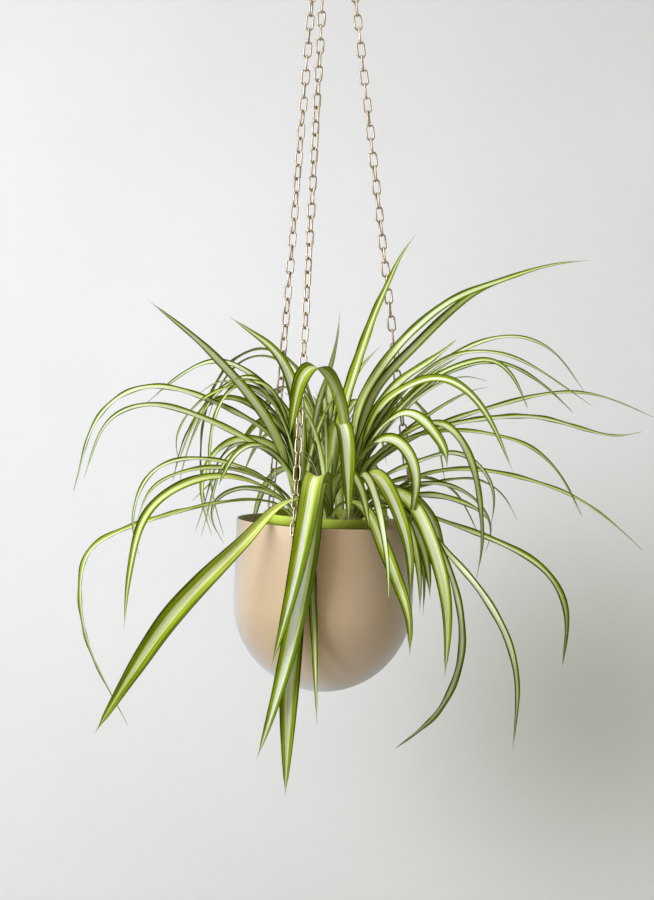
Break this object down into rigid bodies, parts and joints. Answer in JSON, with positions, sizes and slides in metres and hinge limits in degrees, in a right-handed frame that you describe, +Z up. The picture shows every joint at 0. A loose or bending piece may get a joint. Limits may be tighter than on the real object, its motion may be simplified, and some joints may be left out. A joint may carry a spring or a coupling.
{
  "type": "potted spider plant",
  "caption": "Hanging planter: a blush round-bottomed pot on chains that meet in a ring, holding a lime nursery pot of soil with an arching green and white striped spider plant.",
  "frame": {"origin": "the point inside the top ring where the hook that holds the planter bears on it", "axes": "+Z up, the way the hook pulls; -Y is the side that faces the viewer, with one chain left of centre at the front; +X is the viewer's right"},
  "size_m": [0.5807, 0.441, 0.9648],
  "materials": {
    "blush_powder_coat": "matte blush powder coat on thin spun metal",
    "lime_plastic": "satin lime green moulded plastic",
    "potting_soil": "dark moist crumbly potting soil",
    "leaf": "green leaf with a cream stripe, softly waxy",
    "champagne_gold": "satin champagne gold plating on steel wire"
  },
  "bodies": {
    "root": {"outer_pot": "blush_powder_coat", "nursery_pot": "lime_plastic", "potting_soil": "potting_soil", "crown_front": "leaf", "crown_right": "leaf", "crown_back": "leaf", "crown_left": "leaf", "chain_left": "champagne_gold", "chain_front": "champagne_gold", "chain_right": "champagne_gold", "hanging_ring": "champagne_gold"}
  },
  "joints": []
}
